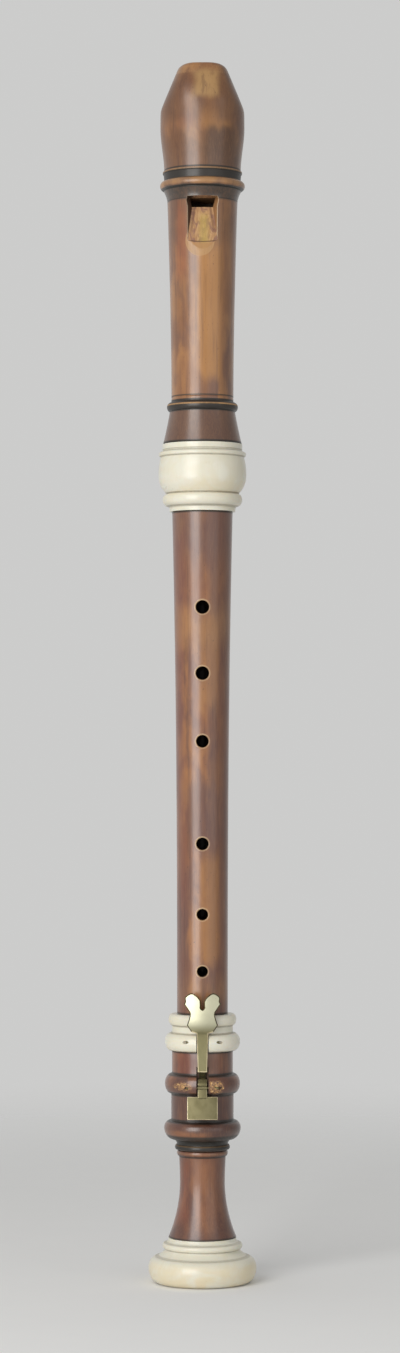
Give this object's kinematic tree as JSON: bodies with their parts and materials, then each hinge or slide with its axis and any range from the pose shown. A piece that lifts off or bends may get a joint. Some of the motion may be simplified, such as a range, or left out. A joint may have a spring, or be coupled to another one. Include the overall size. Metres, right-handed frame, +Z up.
{
  "type": "tenor recorder",
  "caption": "Upright tenor recorder in separable wooden joints with turned ivory-coloured mounts, fipple head and an open-standing lever key over the lowest tone hole.",
  "frame": {"origin": "centre of the foot's flat underside, on the bore's axis", "axes": "+Z up the bore from the foot to the beak; the window, finger holes and key face -Y"},
  "size_m": [0.0578, 0.0578, 0.65],
  "materials": {
    "boxwood": "stained and polished boxwood, satin",
    "cedar": "plain cedar, unfinished",
    "ivory": "turned ivory, polished",
    "brass": "satin, slightly tarnished",
    "spring_steel": "blued spring steel, satin",
    "thread": "waxed linen thread",
    "leather": "soft pad leather"
  },
  "bodies": {
    "middle": {"middle_joint": "boxwood"},
    "head_lapping": {"upper_tenon_lapping": "thread"},
    "head": {"head_joint": "boxwood", "head_socket_ring": "ivory"},
    "block": {"block": "cedar"},
    "foot_lapping": {"lower_tenon_lapping": "thread"},
    "foot": {"foot_joint": "boxwood", "foot_socket_ring": "ivory", "foot_bell_ring": "ivory", "touch_axle": "brass", "pad_axle": "brass"},
    "touch": {"touch_lever": "brass", "touch_spring": "spring_steel", "touch_spring_rivet": "brass"},
    "pad": {"pad_lever": "brass", "key_pad": "leather", "pad_spring": "spring_steel", "pad_spring_rivet": "brass"}
  },
  "joints": [
    {"name": "head_turn", "type": "hinge", "parent": "middle", "child": "head_lapping", "pos_m": [0, 0, 0.412], "axis": [0, 0, 1], "continuous": true},
    {"name": "head_pull", "type": "slide", "parent": "head_lapping", "child": "head", "axis": [0, 0, 1], "range_m": [0, 0.0285]},
    {"name": "block_push", "type": "slide", "parent": "head", "child": "block", "axis": [0, 0, 1], "range_m": [0, 0.0715]},
    {"name": "foot_turn", "type": "hinge", "parent": "middle", "child": "foot_lapping", "pos_m": [0, 0, 0.144], "axis": [0, 0, 1], "continuous": true},
    {"name": "foot_pull", "type": "slide", "parent": "foot_lapping", "child": "foot", "axis": [0, 0, -1], "range_m": [0, 0.0285]},
    {"name": "touch_press", "type": "hinge", "parent": "foot", "child": "touch", "pos_m": [0, -0.0178, 0.1297], "axis": [-1, 0, 0], "range_deg": [0, 3], "stiffness_Nm_per_rad": 0.06, "springref_deg": -8.59, "deforming": ["touch_spring"]},
    {"name": "pad_close", "type": "hinge", "parent": "foot", "child": "pad", "pos_m": [0, -0.0178, 0.1055], "axis": [1, 0, 0], "range_deg": [0, 14], "deforming": ["pad_spring"]}
  ],
  "couplings": [
    {"joint": "pad_close", "follows": "touch_press", "ratio": 4.66}
  ]
}
